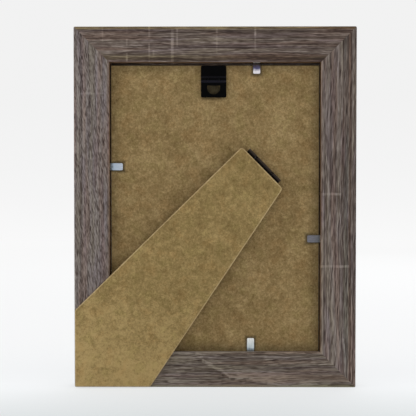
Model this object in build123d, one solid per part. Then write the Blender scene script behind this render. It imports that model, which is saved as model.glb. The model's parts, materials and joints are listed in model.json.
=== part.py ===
from build123d import *
import math
import os

# Easel back photo frame for one standard print, with a strut for portrait or landscape use.
# +Z is up, the glass faces -Y and the back faces +Y. Left and right are as seen from the back,
# so left is +X. The origin is on the surface that the bottom rail stands on, at the middle of
# the width and of the folded depth. Lengths are in millimetres and angles in degrees.

# Print, glass and backing board: glass and board stand out past the print by the margin
print_width = 130.0
print_height = 180.0
print_thickness = 0.3
pane_margin = 1.0
glass_thickness = 2.0
board_thickness = 3.0

# Rails: the lip holds the glass from the front, and the rabbet leaves play round the panes
rail_width = 22.5
lip_depth = 6.5
lip_overlap = 4.5
rabbet_play = 1.0
outline_radius = 1.2
back_edge_radius = 0.8
front_edge_radius = 1.6

# Corner nails: V-shaped strips across the mitres, driven below the back of the rails
nail_leg = 5.0
nail_thickness = 0.5
nail_height = 7.0
nail_cover = 1.0
nail_place_shares = (0.35, 0.7)

# Strut: its end is placed from the middle of the frame, to the right and up
strut_thickness = 3.0
strut_gap = 0.2
strut_inset = 0.6
strut_end_width = 37.0
strut_end_right = 29.9
strut_end_up = 25.3
strut_end_radius = 2.0
strut_foot_radius = 0.8
strut_slope_angle = 44.4
strut_flare_angle = 11.9
strut_opening_angle = 38.0

# Strut hinge: a closed butt hinge, whose barrel shows past the end of the strut
hinge_radius = 2.0
hinge_length = 28.0
hinge_middle_length = 12.0
hinge_show = 3.0
hinge_leaf_length = 16.0
hinge_leaf_thickness = 0.8
hinge_leaf_corner = 2.0
hinge_pin_radius = 0.9
hinge_prong_width = 2.0
hinge_prong_along_shares = (0.4, 0.75)
hinge_prong_across_shares = (-0.32, 0.32)

# Stop of the strut hinge: a tooth on the middle knuckle runs in a slot in each outer knuckle
stop_length = 1.5
stop_start_angle = 50.0
stop_tooth_angle = 60.0
stop_play_angle = 2.0

# Hanger: a plate on the board and a flap with a D-shaped hole, hinged below it
hanger_width = 16.1
hanger_left = 0.9
hanger_plate_length = 8.6
hanger_flap_length = 11.6
hanger_thickness = 0.7
hanger_corner = 0.9
hanger_radius = 1.4
hanger_middle_length = 7.0
hanger_pin_radius = 0.6
hanger_hole_width = 8.3
hanger_hole_height = 5.5
hanger_hole_start = 4.1
hanger_prong_width = 1.8
hanger_prong_along_shares = (0.62,)
hanger_prong_across_shares = (-0.3, 0.3)

# Tabs: flat points driven into the rails, each placed from the middle of its rail
tab_width = 4.5
tab_thickness = 0.5
tab_length = 16.0
tab_tip_radius = 0.8
tab_bend_offset = 0.6
tab_board_gap = 0.1
tab_top_right = 26.4
tab_top_reach = 7.1
tab_bottom_right = 22.7
tab_bottom_reach = 8.5
tab_left_up = 25.9
tab_left_reach = 8.3
tab_right_down = 20.0
tab_right_reach = 8.3

# Fits, and the overrun that every cut shares
pin_fit = 0.02
running_fit = 0.05
knuckle_gap = 0.15
leaf_clearance = 0.4
prong_depth_share = 0.7
overrun = 1.0

# Sizes that follow from the values above
pane_width = print_width + 2 * pane_margin
pane_height = print_height + 2 * pane_margin
face_width = rail_width + lip_overlap
frame_width = pane_width + 2 * rabbet_play + 2 * rail_width
frame_height = pane_height + 2 * rabbet_play + 2 * rail_width
board_recess = 2 * hinge_radius - strut_gap
rail_depth = lip_depth + glass_thickness + print_thickness + board_thickness + board_recess
folded_depth = rail_depth + strut_gap + strut_thickness

# Levels along Y, from the front to the back
front_level = -folded_depth / 2
glass_level = front_level + lip_depth
print_level = glass_level + glass_thickness
board_level = print_level + print_thickness
board_back_level = board_level + board_thickness
rail_back_level = front_level + rail_depth
strut_level = rail_back_level + strut_gap
strut_back_level = strut_level + strut_thickness

# Corners of the frame and of the mitres, from the lower left round by the top
half_width = frame_width / 2
outer_corners = [(half_width, 0), (half_width, frame_height), (-half_width, frame_height), (-half_width, 0)]
corner_directions = [(-1, 1), (-1, -1), (1, -1), (1, 1)]

# Unit directions of the strut, seen in X and Z: down to its foot, and across along its hinge
slope = math.radians(strut_slope_angle)
flared_slope = math.radians(strut_slope_angle + strut_flare_angle)
strut_down = Vector(math.cos(slope), -math.sin(slope))
strut_across = Vector(-math.sin(slope), -math.cos(slope))
strut_end = Vector(-strut_end_right, frame_height / 2 + strut_end_up)
hinge_point = strut_end - strut_down * (hinge_show - hinge_radius)


def slab(sketch, low, high):
    """Solid of a sketch drawn in X and Z, between two levels along Y."""
    return extrude(Plane.XZ.offset(-low) * sketch, amount=high - low, dir=(0, 1, 0))


def plate(sketch, low, high):
    """Solid of a sketch drawn in X and Y, between two levels along Z."""
    return extrude(Plane.XY.offset(low) * sketch, amount=high - low, dir=(0, 0, 1))


def span(x_low, x_high, y_low, y_high):
    """Rectangle between two values along each axis."""
    corner = Pos(x_low, y_low)
    return corner * Rectangle(x_high - x_low, y_high - y_low, align=(Align.MIN, Align.MIN))


def rounded_end(sketch, radius):
    """Sketch with the corners at its far end along X rounded."""
    return fillet(sketch.vertices().group_by(Axis.X)[-1], radius)


def back_frame(x, z, down):
    """Frame on the back of the board: its X runs along down, and its Z out of the back."""
    return Plane(origin=(x, board_back_level, z), x_dir=(down.X, 0, down.Y), z_dir=(0, 1, 0))


def inner_corner(index):
    """Where the mitre of a corner ends, at the inner edge of the lip."""
    x, z = outer_corners[index]
    inward_x, inward_z = corner_directions[index]
    return (x + inward_x * face_width, z + inward_z * face_width)


def rail_profile():
    """Section of the moulding: inwards from its outer edge, and back from its front face."""
    corners = [
        (0, 0),
        (face_width, 0),
        (face_width, lip_depth),
        (rail_width, lip_depth),
        (rail_width, rail_depth),
        (0, rail_depth),
    ]
    section = Polygon(*corners)
    section = fillet(section.vertices().group_by(Axis.Y)[0], front_edge_radius)
    return fillet(section.vertices().group_by(Axis.Y)[-1], back_edge_radius)


def rail(index, inward):
    """One mitred moulding, between the corner with this index and the next one round."""
    following = (index + 1) % len(outer_corners)
    start = Vector(*outer_corners[index])
    stop = Vector(*outer_corners[following])
    middle = (start + stop) / 2
    section_frame = Plane(
        origin=(middle.X, front_level, middle.Y),
        x_dir=(inward.X, 0, inward.Y),
        z_dir=(-inward.Y, 0, inward.X),
    )
    moulding = extrude(section_frame * rail_profile(), amount=(stop - start).length / 2, both=True)
    mitre = Polygon(start, stop, inner_corner(following), inner_corner(index))
    outline = Pos(0, frame_height / 2) * RectangleRounded(frame_width, frame_height, outline_radius)
    return moulding & slab(mitre & outline, front_level, rail_back_level)


def corner_nail(index, place_share):
    """V-shaped nail with one leg in each of the two rails that meet at a corner."""
    x, z = outer_corners[index]
    inward_x, inward_z = corner_directions[index]
    place = place_share * rail_width
    outline = [
        (0, 0),
        (nail_leg, 0),
        (nail_leg, nail_thickness),
        (nail_thickness, nail_thickness),
        (nail_thickness, nail_leg),
        (0, nail_leg),
    ]
    points = [(x + inward_x * (place + u), z + inward_z * (place + w)) for u, w in outline]
    top = rail_back_level - nail_cover
    return slab(Polygon(*points), top - nail_height, top)


def pane(width, height, low, high):
    """Flat sheet that rests on the bottom rail's rabbet, at the middle of the frame."""
    return slab(span(-width / 2, width / 2, rail_width, rail_width + height), low, high)


def strut_blank():
    """Strut with one side square to its end and the other flared, cut to both foot edges."""
    side = half_width - strut_inset
    left_end = strut_end - strut_across * (strut_end_width / 2)
    right_end = strut_end + strut_across * (strut_end_width / 2)
    left_run = (side - left_end.X) / math.cos(slope)
    right_run = (right_end.Y - strut_inset) / math.sin(flared_slope)
    left_foot = (side, left_end.Y - left_run * math.sin(slope))
    right_foot = (right_end.X + right_run * math.cos(flared_slope), strut_inset)
    outline = Polygon(left_end, right_end, right_foot, (side, strut_inset), left_foot)
    feet = outline.vertices().sort_by(Axis.Y)[:3]
    outline = fillet(feet, strut_foot_radius)
    ends = [outline.vertices().sort_by_distance((end.X, end.Y, 0))[0] for end in (left_end, right_end)]
    return slab(fillet(ends, strut_end_radius), strut_level, strut_back_level)


def ring(radius, bore, low, high):
    """Knuckle round a pin that lies one knuckle radius above the board."""
    return slab(Pos(0, radius) * (Circle(radius) - Circle(bore)), low, high)


def ring_bore(radius, bore, length):
    """Straight bore through the knuckles of a leaf."""
    return slab(Pos(0, radius) * Circle(bore), -length / 2 - overrun, length / 2 + overrun)


def ring_sector(radius, bore, start_angle, stop_angle, low, high):
    """Part of a knuckle between two angles, taken from the leaf's own direction."""
    middle_angle = (start_angle + stop_angle) / 2
    rays = [Vector(2 * radius, 0).rotate(Axis.Z, angle) for angle in (start_angle, middle_angle, stop_angle)]
    section = (Circle(radius) - Circle(bore)) & Polygon((0, 0), *rays)
    return slab(Pos(0, radius) * section, low, high)


def prong(along, across, width, thickness, root, shoulder, tip):
    """Pointed prong, bent out of a leaf at one place."""
    outline = [
        (across - width / 2, root),
        (across + width / 2, root),
        (across + width / 2, shoulder),
        (across, tip),
        (across - width / 2, shoulder),
    ]
    return extrude(Plane.YZ.offset(along) * Polygon(*outline), amount=thickness, dir=(1, 0, 0))


def with_prongs(leaf, places, width, thickness, root, shoulder, tip):
    """Leaf with a prong at each place, and the window that each was punched from."""
    depth = abs(tip - shoulder)
    low, high = sorted((root, shoulder))
    for along, across in places:
        left, right = across - width / 2, across + width / 2
        leaf -= plate(span(along, along + thickness + depth, left, right), low, high)
        leaf += prong(along, across, width, thickness, root, shoulder, tip)
    return leaf


def hinge_prong_places():
    """Places of the prongs on either leaf of the strut hinge."""
    return [
        (along * hinge_leaf_length, across * hinge_length)
        for along in hinge_prong_along_shares
        for across in hinge_prong_across_shares
    ]


def hinge_board_leaf():
    """Leaf on the board, with the two outer knuckles and their stop slots."""
    half = hinge_length / 2
    inner = hinge_middle_length / 2 + knuckle_gap
    outline = rounded_end(span(0, hinge_leaf_length, -half, half), hinge_leaf_corner)
    outline -= span(-overrun, hinge_radius + leaf_clearance, -inner, inner)
    leaf = plate(outline, 0, hinge_leaf_thickness)
    places = hinge_prong_places()
    tip = -prong_depth_share * board_thickness
    leaf = with_prongs(leaf, places, hinge_prong_width, hinge_leaf_thickness, hinge_leaf_thickness, 0, tip)
    slot_start = stop_start_angle - stop_play_angle
    slot_stop = stop_start_angle + stop_tooth_angle + strut_opening_angle + stop_play_angle
    slot_end = inner + stop_length + knuckle_gap
    bore = hinge_pin_radius + pin_fit
    for low, high in ((inner, half), (-half, -inner)):
        leaf += ring(hinge_radius, bore, low, high)
    for low, high in ((inner, slot_end), (-slot_end, -inner)):
        leaf -= ring_sector(hinge_radius, bore, slot_start, slot_stop, low, high)
    return leaf - ring_bore(hinge_radius, bore, hinge_length)


def hinge_strut_leaf():
    """Leaf on the strut, with the middle knuckle and a stop tooth at each end of it."""
    half = hinge_length / 2
    inner = hinge_middle_length / 2
    top = 2 * hinge_radius
    outline = rounded_end(span(0, hinge_leaf_length, -half, half), hinge_leaf_corner)
    for low, high in ((inner, half + overrun), (-half - overrun, -inner)):
        outline -= span(-overrun, hinge_radius + leaf_clearance, low, high)
    leaf = plate(outline, top - hinge_leaf_thickness, top)
    places = hinge_prong_places()
    root = top - hinge_leaf_thickness
    tip = top + prong_depth_share * strut_thickness
    leaf = with_prongs(leaf, places, hinge_prong_width, hinge_leaf_thickness, root, top, tip)
    bore = hinge_pin_radius + running_fit
    leaf += ring(hinge_radius, bore, -inner, inner)
    tooth_end = inner + knuckle_gap + stop_length
    tooth_stop = stop_start_angle + stop_tooth_angle
    leaf += ring_sector(hinge_radius, bore, stop_start_angle, tooth_stop, -tooth_end, tooth_end)
    return leaf - ring_bore(hinge_radius, bore, hinge_length)


def pin(radius, height, length):
    """Hinge pin, flush with the ends of its barrel."""
    return slab(Pos(0, height) * Circle(radius), -length / 2, length / 2)


def hanger_plate():
    """Fixed half of the hanger, from the board's top edge down to the two outer knuckles."""
    half = hanger_width / 2
    inner = hanger_middle_length / 2 + knuckle_gap
    outline = span(-hanger_plate_length, 0, -half, half)
    outline = fillet(outline.vertices().group_by(Axis.X)[0], hanger_corner)
    outline -= span(-hanger_radius - leaf_clearance, overrun, -inner, inner)
    leaf = plate(outline, 0, hanger_thickness)
    places = [
        (-along * hanger_plate_length, across * hanger_width)
        for along in hanger_prong_along_shares
        for across in hanger_prong_across_shares
    ]
    tip = -prong_depth_share * board_thickness
    leaf = with_prongs(leaf, places, hanger_prong_width, hanger_thickness, hanger_thickness, 0, tip)
    bore = hanger_pin_radius + pin_fit
    for low, high in ((inner, half), (-half, -inner)):
        leaf += ring(hanger_radius, bore, low, high)
    return leaf - ring_bore(hanger_radius, bore, hanger_width)


def hanger_flap():
    """Flap that turns out and up, with its plane through the pin and its hole flat at the hinge."""
    half = hanger_width / 2
    inner = hanger_middle_length / 2
    outline = rounded_end(span(0, hanger_flap_length, -half, half), hanger_corner)
    for low, high in ((inner, half + overrun), (-half - overrun, -inner)):
        outline -= span(-overrun, hanger_radius + leaf_clearance, low, high)
    arc_radius = hanger_hole_width / 2
    arc_centre = hanger_hole_start + hanger_hole_height - arc_radius
    hole = span(hanger_hole_start, arc_centre, -arc_radius, arc_radius)
    below_hinge = span(hanger_hole_start, hanger_flap_length, -arc_radius, arc_radius)
    hole += Pos(arc_centre, 0) * Circle(arc_radius) & below_hinge
    low = hanger_radius - hanger_thickness / 2
    flap = plate(outline - hole, low, low + hanger_thickness)
    bore = hanger_pin_radius + running_fit
    flap += ring(hanger_radius, bore, -inner, inner)
    return flap - ring_bore(hanger_radius, bore, hanger_width)


def tab_blade(reach):
    """Bendable end of a tab, from the round bead on its bend line to its tip."""
    half = tab_width / 2
    outline = rounded_end(span(tab_bend_offset, reach, -half, half), tab_tip_radius)
    blade = plate(outline, tab_board_gap, tab_board_gap + tab_thickness)
    bend = Pos(tab_bend_offset, tab_board_gap + tab_thickness / 2)
    return blade + slab(bend * Circle(tab_thickness / 2), -half, half)


def tab_root(reach):
    """Driven end of a tab, from its point inside the rail to the bend line."""
    half = tab_width / 2
    point = reach - tab_length
    end = tab_bend_offset - tab_thickness / 2 - pin_fit
    outline = [(point, 0), (point + half, -half), (end, -half), (end, half), (point + half, half)]
    return plate(Polygon(*outline), tab_board_gap, tab_board_gap + tab_thickness)


# Frames of the pieces on the back
middle_height = frame_height / 2
rabbet_side = half_width - rail_width
rabbet_top = frame_height - rail_width
downwards = Vector(0, -1)
upwards = Vector(0, 1)
to_left = Vector(1, 0)
to_right = Vector(-1, 0)
hinge_frame = back_frame(hinge_point.X, hinge_point.Y, strut_down)
hanger_frame = back_frame(hanger_left, rail_width + pane_height - hanger_plate_length, downwards)
tabs = {
    "tab_top": (back_frame(-tab_top_right, rabbet_top, downwards), tab_top_reach),
    "tab_bottom": (back_frame(-tab_bottom_right, rail_width, upwards), tab_bottom_reach),
    "tab_left": (back_frame(rabbet_side, middle_height + tab_left_up, to_right), tab_left_reach),
    "tab_right": (back_frame(-rabbet_side, middle_height - tab_right_down, to_left), tab_right_reach),
}

# Pieces, each in its place
nails = [corner_nail(index, share) for index in range(len(outer_corners)) for share in nail_place_shares]
roots = [tab_frame * tab_root(reach) for tab_frame, reach in tabs.values()]
rails = {
    "rail_left": rail(0, to_right),
    "rail_top": rail(1, downwards),
    "rail_right": rail(2, to_left),
    "rail_bottom": rail(3, upwards),
}
board_leaf = hinge_frame * hinge_board_leaf()
strut_leaf = hinge_frame * hinge_strut_leaf()
fixed_hanger = hanger_frame * hanger_plate()

pieces = {name: moulding - (nails + roots) for name, moulding in rails.items()}
pieces["corner_nails"] = Compound(children=nails)
pieces["glass_pane"] = pane(pane_width, pane_height, glass_level, print_level)
pieces["photo_print"] = pane(print_width, print_height, print_level, board_level)
board_blank = pane(pane_width, pane_height, board_level, board_back_level)
pieces["backing_board"] = board_blank - [board_leaf, fixed_hanger]
pieces["easel_strut"] = strut_blank() - strut_leaf
pieces["hinge_board_leaf"] = board_leaf
pieces["hinge_strut_leaf"] = strut_leaf
pieces["hinge_pin"] = hinge_frame * pin(hinge_pin_radius, hinge_radius, hinge_length)
pieces["hanger_plate"] = fixed_hanger
pieces["hanger_flap"] = hanger_frame * hanger_flap()
pieces["hanger_pin"] = hanger_frame * pin(hanger_pin_radius, hanger_radius, hanger_width)
pieces["tab_roots"] = Compound(children=roots)
for name, (tab_frame, reach) in tabs.items():
    pieces[name] = tab_frame * tab_blade(reach)

os.makedirs("parts", exist_ok=True)
for name, piece in pieces.items():
    export_step(piece, f"parts/{name}.step")
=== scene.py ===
import json
import math

import bmesh
import bpy
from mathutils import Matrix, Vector


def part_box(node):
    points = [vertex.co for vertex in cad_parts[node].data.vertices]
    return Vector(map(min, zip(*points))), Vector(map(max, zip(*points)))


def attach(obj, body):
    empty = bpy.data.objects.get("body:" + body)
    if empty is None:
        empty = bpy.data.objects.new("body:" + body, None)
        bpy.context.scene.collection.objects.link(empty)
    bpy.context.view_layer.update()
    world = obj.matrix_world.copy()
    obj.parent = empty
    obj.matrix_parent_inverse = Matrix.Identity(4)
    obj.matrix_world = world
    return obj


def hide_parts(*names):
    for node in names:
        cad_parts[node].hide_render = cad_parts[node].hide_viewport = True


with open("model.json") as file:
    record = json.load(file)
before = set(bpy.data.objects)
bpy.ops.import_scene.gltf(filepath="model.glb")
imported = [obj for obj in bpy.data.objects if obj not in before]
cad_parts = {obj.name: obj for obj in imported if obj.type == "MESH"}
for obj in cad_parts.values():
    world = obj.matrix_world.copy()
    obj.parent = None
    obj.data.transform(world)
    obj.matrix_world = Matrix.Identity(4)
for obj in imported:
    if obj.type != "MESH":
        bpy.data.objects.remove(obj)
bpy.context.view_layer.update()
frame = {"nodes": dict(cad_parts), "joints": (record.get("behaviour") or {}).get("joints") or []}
nodes = frame["nodes"]
pivots = {joint["name"]: Vector(joint["pos_m"]) for joint in frame["joints"]}

# An easel back photo frame, seen from behind: rails in wood-grain foil, a hardboard back and strut,
# black steel hinge and hanger, zinc tabs. Lengths are in metres. Left and right are as seen from behind.
MM = 0.001

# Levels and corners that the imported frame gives
glass_low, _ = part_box("glass_pane")
board_low, board_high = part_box("backing_board")
left_low, left_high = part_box("rail_left")
_, top_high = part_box("rail_top")
strut_low, strut_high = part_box("easel_strut")
frame_width = 2 * left_high.x
frame_height = top_high.z
rail_width = glass_low.z
face_width = left_high.x - left_low.x
front_level = left_low.y
back_level = left_high.y
lip_level = glass_low.y

# Places this close are on one level. A direction lies along an axis when its share of it is above mostly,
# across it when below hardly, and a face looks straight along it when above squarely.
touching = 0.01 * MM
mostly = 0.9
hardly = 0.1
squarely = 0.98
smooth_angle = math.radians(35)

# Rounding of the rails, and the turns of the cuts that round the outline's corners
back_edge_radius = 0.8 * MM
front_edge_radius = 1.6 * MM
outline_radius = 1.2 * MM
corner_cuts = (9, 18, 27, 36)

# Strut: where its hinged end is, how it slopes and flares, and its edges
strut_end = Vector((-29.9 * MM, 0, frame_height / 2 + 25.3 * MM))
strut_end_width = 37 * MM
strut_slope = math.radians(44.4)
strut_flare = math.radians(11.9)
strut_end_radius = 2 * MM
strut_foot_radius = 0.8 * MM
strut_rim = 0.7 * MM

# Hanger: sheet steel rolled round its pin, with a D-shaped hole
hanger_sheet = 0.7 * MM
hanger_barrel = 1.4 * MM
hanger_roll = hanger_barrel - hanger_sheet / 2
hanger_middle = 7 * MM
hanger_gap = 0.07 * MM
hanger_corner = 0.9 * MM
hanger_jog = 0.45 * MM
hanger_hole_width = 8.3 * MM
hanger_hole_top = 4.1 * MM
hanger_hole_foot = 9.6 * MM
hanger_rim = 0.12 * MM
roll_turn = math.radians(285)
roll_steps = 24
jog_steps = 6

# Tabs: rounded tips, softened rims past the bend, and how far the strip bows off the board on its way
tab_tip_radius = 0.8 * MM
tab_rim = 0.07 * MM
tab_rim_start = 0.4 * MM
tab_end_slack = 0.1 * MM
tab_bow_slack = 0.02 * MM
tab_bend_flat = 0.01 * MM
tab_bow = ((0.12, 0.0), (0.35, 0.1 * MM), (0.6, 0.1 * MM), (0.85, 0.0), (1.0, -0.06 * MM))

# Camera: eye and aim fitted to the frame's outline in the photograph
image_px = 416
focus_px = 1252.5
eye = Vector((-2.9 * MM, 800 * MM, 141.5 * MM))
eye_yaw = math.radians(-0.53)
eye_pitch = math.radians(1.965)
sensor = 36

# Grain of the foil: cells of each noise to the metre, along the rail, across it and through it
wander_cells = (22, 110, 110)
hair_cells = (250, 4500, 4500)
wear_cells = (60, 170, 170)
warmth_cells = (12, 240, 240)
mauve_cells = (25, 300, 300)

# Hardboard: cells to the metre and roughness of its mottling, from clouds to specks, its warm and olive
# patches, its painted shade, and its fibres with the degrees that they are turned
mottle_cells = ((60, 0.5), (260, 0.6), (700, 0.7), (1500, 0.6))
warm_patch_cells = 110
shade_cells = 120
fibre_cells = (350, 1600, 1600)
fibre_turns = (20, 75, 130)

# Other finishes: cells to the metre of fibre, paint, zinc and haze
speck_cells = 900
peel_cells = 1800
paint_wear_cells = 400
drawn_cells_across = 2600
drawn_cells_along = 300
haze_cells = 30
fine_relief = 0.02 * MM

# Studio, in metres and watts: the floor, the light all round, and each soft lamp's place, size and power
floor_size = 60
ambient = 0.8
lamp_aim = Vector((0, 0, 0.1))
soft_lamps = {
    "left softbox": (Vector((1.0, 0.25, 0.35)), 0.6, 3.2),
    "right softbox": (Vector((-1.0, 0.25, 0.35)), 0.6, 2.8),
    "front fill": (Vector((-0.3, -1.0, 0.6)), 0.9, 3),
}


def srgb(red, green, blue):
    """A colour as it shows on screen, 0 to 255, as the linear colour that a shader takes."""
    shares = [value / 255 for value in (red, green, blue)]
    linear = [s / 12.92 if s <= 0.04045 else ((s + 0.055) / 1.055) ** 2.4 for s in shares]
    return (*linear, 1)


def grey(level):
    return (level, level, level, 1)


# Modelling by hand


def deselect():
    bpy.ops.object.select_all(action="DESELECT")


def block(name, low, high):
    """A box between two corners, ready to be shaped."""
    deselect()
    bpy.ops.mesh.primitive_cube_add(size=1, location=(low + high) / 2, scale=high - low)
    piece = bpy.context.object
    piece.name = name
    bpy.ops.object.transform_apply(location=True, rotation=True, scale=True)
    return piece


def start_edit(piece):
    deselect()
    piece.select_set(True)
    bpy.context.view_layer.objects.active = piece
    bpy.ops.object.mode_set(mode="EDIT")


def end_edit():
    bpy.ops.object.mode_set(mode="OBJECT")


def pick(piece, kind, test):
    """Selects the points, edges or faces of the piece in hand whose middle and direction pass a test."""
    bpy.ops.mesh.select_mode(type=kind)
    bpy.ops.mesh.select_all(action="DESELECT")
    mesh = bmesh.from_edit_mesh(piece.data)
    if kind == "VERT":
        for vertex in mesh.verts:
            if test(vertex.co, vertex.normal):
                vertex.select_set(True)
    elif kind == "EDGE":
        for edge in mesh.edges:
            start, stop = (vertex.co for vertex in edge.verts)
            if test((start + stop) / 2, (stop - start).normalized()):
                edge.select_set(True)
    else:
        for face in mesh.faces:
            if test(face.calc_center_median(), face.normal):
                face.select_set(True)
    mesh.select_flush_mode()
    bmesh.update_edit_mesh(piece.data)


def cut_line(point, across):
    """Cuts the piece in hand along a plane and keeps both sides."""
    bpy.ops.mesh.select_all(action="SELECT")
    bpy.ops.mesh.bisect(plane_co=point, plane_no=across)


def saw(point, outward):
    """Cuts the piece in hand along a plane and throws the outer side away."""
    bpy.ops.mesh.select_all(action="SELECT")
    bpy.ops.mesh.bisect(plane_co=point, plane_no=outward, use_fill=True, clear_outer=True)


def apply_modifier(piece, kind, **settings):
    modifier = piece.modifiers.new(kind.lower(), kind)
    for name, value in settings.items():
        setattr(modifier, name, value)
    bpy.context.view_layer.objects.active = piece
    bpy.ops.object.modifier_apply(modifier=modifier.name)


def even_sheet():
    """Merges the seams of the sheet in hand and turns its faces one way, before it gets its thickness."""
    bpy.ops.mesh.select_all(action="SELECT")
    bpy.ops.mesh.remove_doubles(threshold=touching / 10)
    bpy.ops.mesh.normals_make_consistent(inside=False)


def sheet_blank(name, low, high):
    """A flat sheet that faces front and back, between two corners at one depth."""
    deselect()
    bpy.ops.mesh.primitive_plane_add(size=1, location=(low + high) / 2, rotation=(math.pi / 2, 0, 0))
    sheet = bpy.context.object
    sheet.name = name
    sheet.scale = (high.x - low.x, high.z - low.z, 1)
    bpy.ops.object.transform_apply(location=True, rotation=True, scale=True)
    return sheet


def finish_piece(piece, body, slot, *stood_for):
    """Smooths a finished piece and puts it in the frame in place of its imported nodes."""
    deselect()
    piece.select_set(True)
    bpy.context.view_layer.objects.active = piece
    bpy.ops.object.shade_smooth_by_angle(angle=smooth_angle)
    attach(piece, body)
    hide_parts(*stood_for)


# Material building


class Finish:
    """A material and its nodes, for one finish of the frame."""

    def __init__(self, name):
        self.material = bpy.data.materials.new(name)
        self.material.use_nodes = True
        self.tree = self.material.node_tree
        self.surface = self.tree.nodes["Principled BSDF"]
        self.place = self.add("ShaderNodeTexCoord").outputs["Object"]

    def add(self, kind, **settings):
        node = self.tree.nodes.new(kind)
        for name, value in settings.items():
            setattr(node, name, value)
        return node

    def feed(self, socket, value):
        if isinstance(value, bpy.types.NodeSocket):
            self.tree.links.new(value, socket)
        else:
            socket.default_value = value

    def math(self, operation, first, second=0.0, third=0.0):
        node = self.add("ShaderNodeMath", operation=operation)
        for socket, value in zip(node.inputs, (first, second, third)):
            self.feed(socket, value)
        return node.outputs[0]

    def plus(self, value, layer, amount):
        """A value with a share of a layer added."""
        return self.math("MULTIPLY_ADD", layer, amount, value)

    def swing(self, value, layer, amount):
        """A value shifted up and down by a noise, which lies about a half."""
        return self.plus(value, self.math("SUBTRACT", layer, 0.5), amount)

    def distance(self, value, middle):
        return self.math("ABSOLUTE", self.math("SUBTRACT", value, middle))

    def axes(self, vector):
        node = self.add("ShaderNodeSeparateXYZ")
        self.feed(node.inputs[0], vector)
        return list(node.outputs)

    def join(self, x, y, z):
        node = self.add("ShaderNodeCombineXYZ")
        for socket, value in zip(node.inputs, (x, y, z)):
            self.feed(socket, value)
        return node.outputs[0]

    def stretch(self, vector, scale=(1, 1, 1), shift=(0, 0, 0), turn=(0, 0, 0)):
        node = self.add("ShaderNodeMapping")
        self.feed(node.inputs["Vector"], vector)
        node.inputs["Scale"].default_value = scale
        node.inputs["Location"].default_value = shift
        node.inputs["Rotation"].default_value = turn
        return node.outputs[0]

    def noise(self, vector, scale=1.0, detail=2.0, roughness=0.5):
        node = self.add("ShaderNodeTexNoise")
        self.feed(node.inputs["Vector"], vector)
        node.inputs["Scale"].default_value = scale
        node.inputs["Detail"].default_value = detail
        node.inputs["Roughness"].default_value = roughness
        return node.outputs["Fac"]

    def fade(self, value, low, high, start=0.0, stop=1.0):
        """A smooth step of a value between two limits."""
        node = self.add("ShaderNodeMapRange", interpolation_type="SMOOTHSTEP")
        self.feed(node.inputs["Value"], value)
        node.inputs["From Min"].default_value = low
        node.inputs["From Max"].default_value = high
        node.inputs["To Min"].default_value = start
        node.inputs["To Max"].default_value = stop
        return node.outputs["Result"]

    def line(self, value, middle, half_width, blur):
        """1 on a line across a value, fading to 0 beside it."""
        return self.fade(self.distance(value, middle), half_width, half_width + blur, 1.0, 0.0)

    def ramp(self, value, *stops):
        node = self.add("ShaderNodeValToRGB")
        self.feed(node.inputs[0], value)
        elements = node.color_ramp.elements
        while len(elements) < len(stops):
            elements.new(0.5)
        for element, (position, colour) in zip(elements, stops):
            element.position = position
            element.color = colour
        return node.outputs[0]

    def mix(self, factor, first, second, blend="MIX"):
        node = self.add("ShaderNodeMix", data_type="RGBA", blend_type=blend)
        for name, value in (("Factor_Float", factor), ("A_Color", first), ("B_Color", second)):
            socket = next(s for s in node.inputs if s.identifier == name)
            self.feed(socket, value)
        return next(s for s in node.outputs if s.identifier == "Result_Color")

    def tinted(self, factor, colour, tint):
        """A colour multiplied by a share of a tint, given as it shows on screen."""
        return self.mix(factor, colour, srgb(*tint), "MULTIPLY")

    def bump(self, height, depth):
        """Fine relief of the surface, up to a depth."""
        node = self.add("ShaderNodeBump")
        node.inputs["Strength"].default_value = 1.0
        node.inputs["Distance"].default_value = depth
        self.feed(node.inputs["Height"], height)
        self.feed(self.surface.inputs["Normal"], node.outputs[0])

    def set(self, **values):
        """Sets the surface's own inputs, named with underscores for spaces."""
        for name, value in values.items():
            self.feed(self.surface.inputs[name.replace("_", " ")], value)


# Finishes


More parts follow.
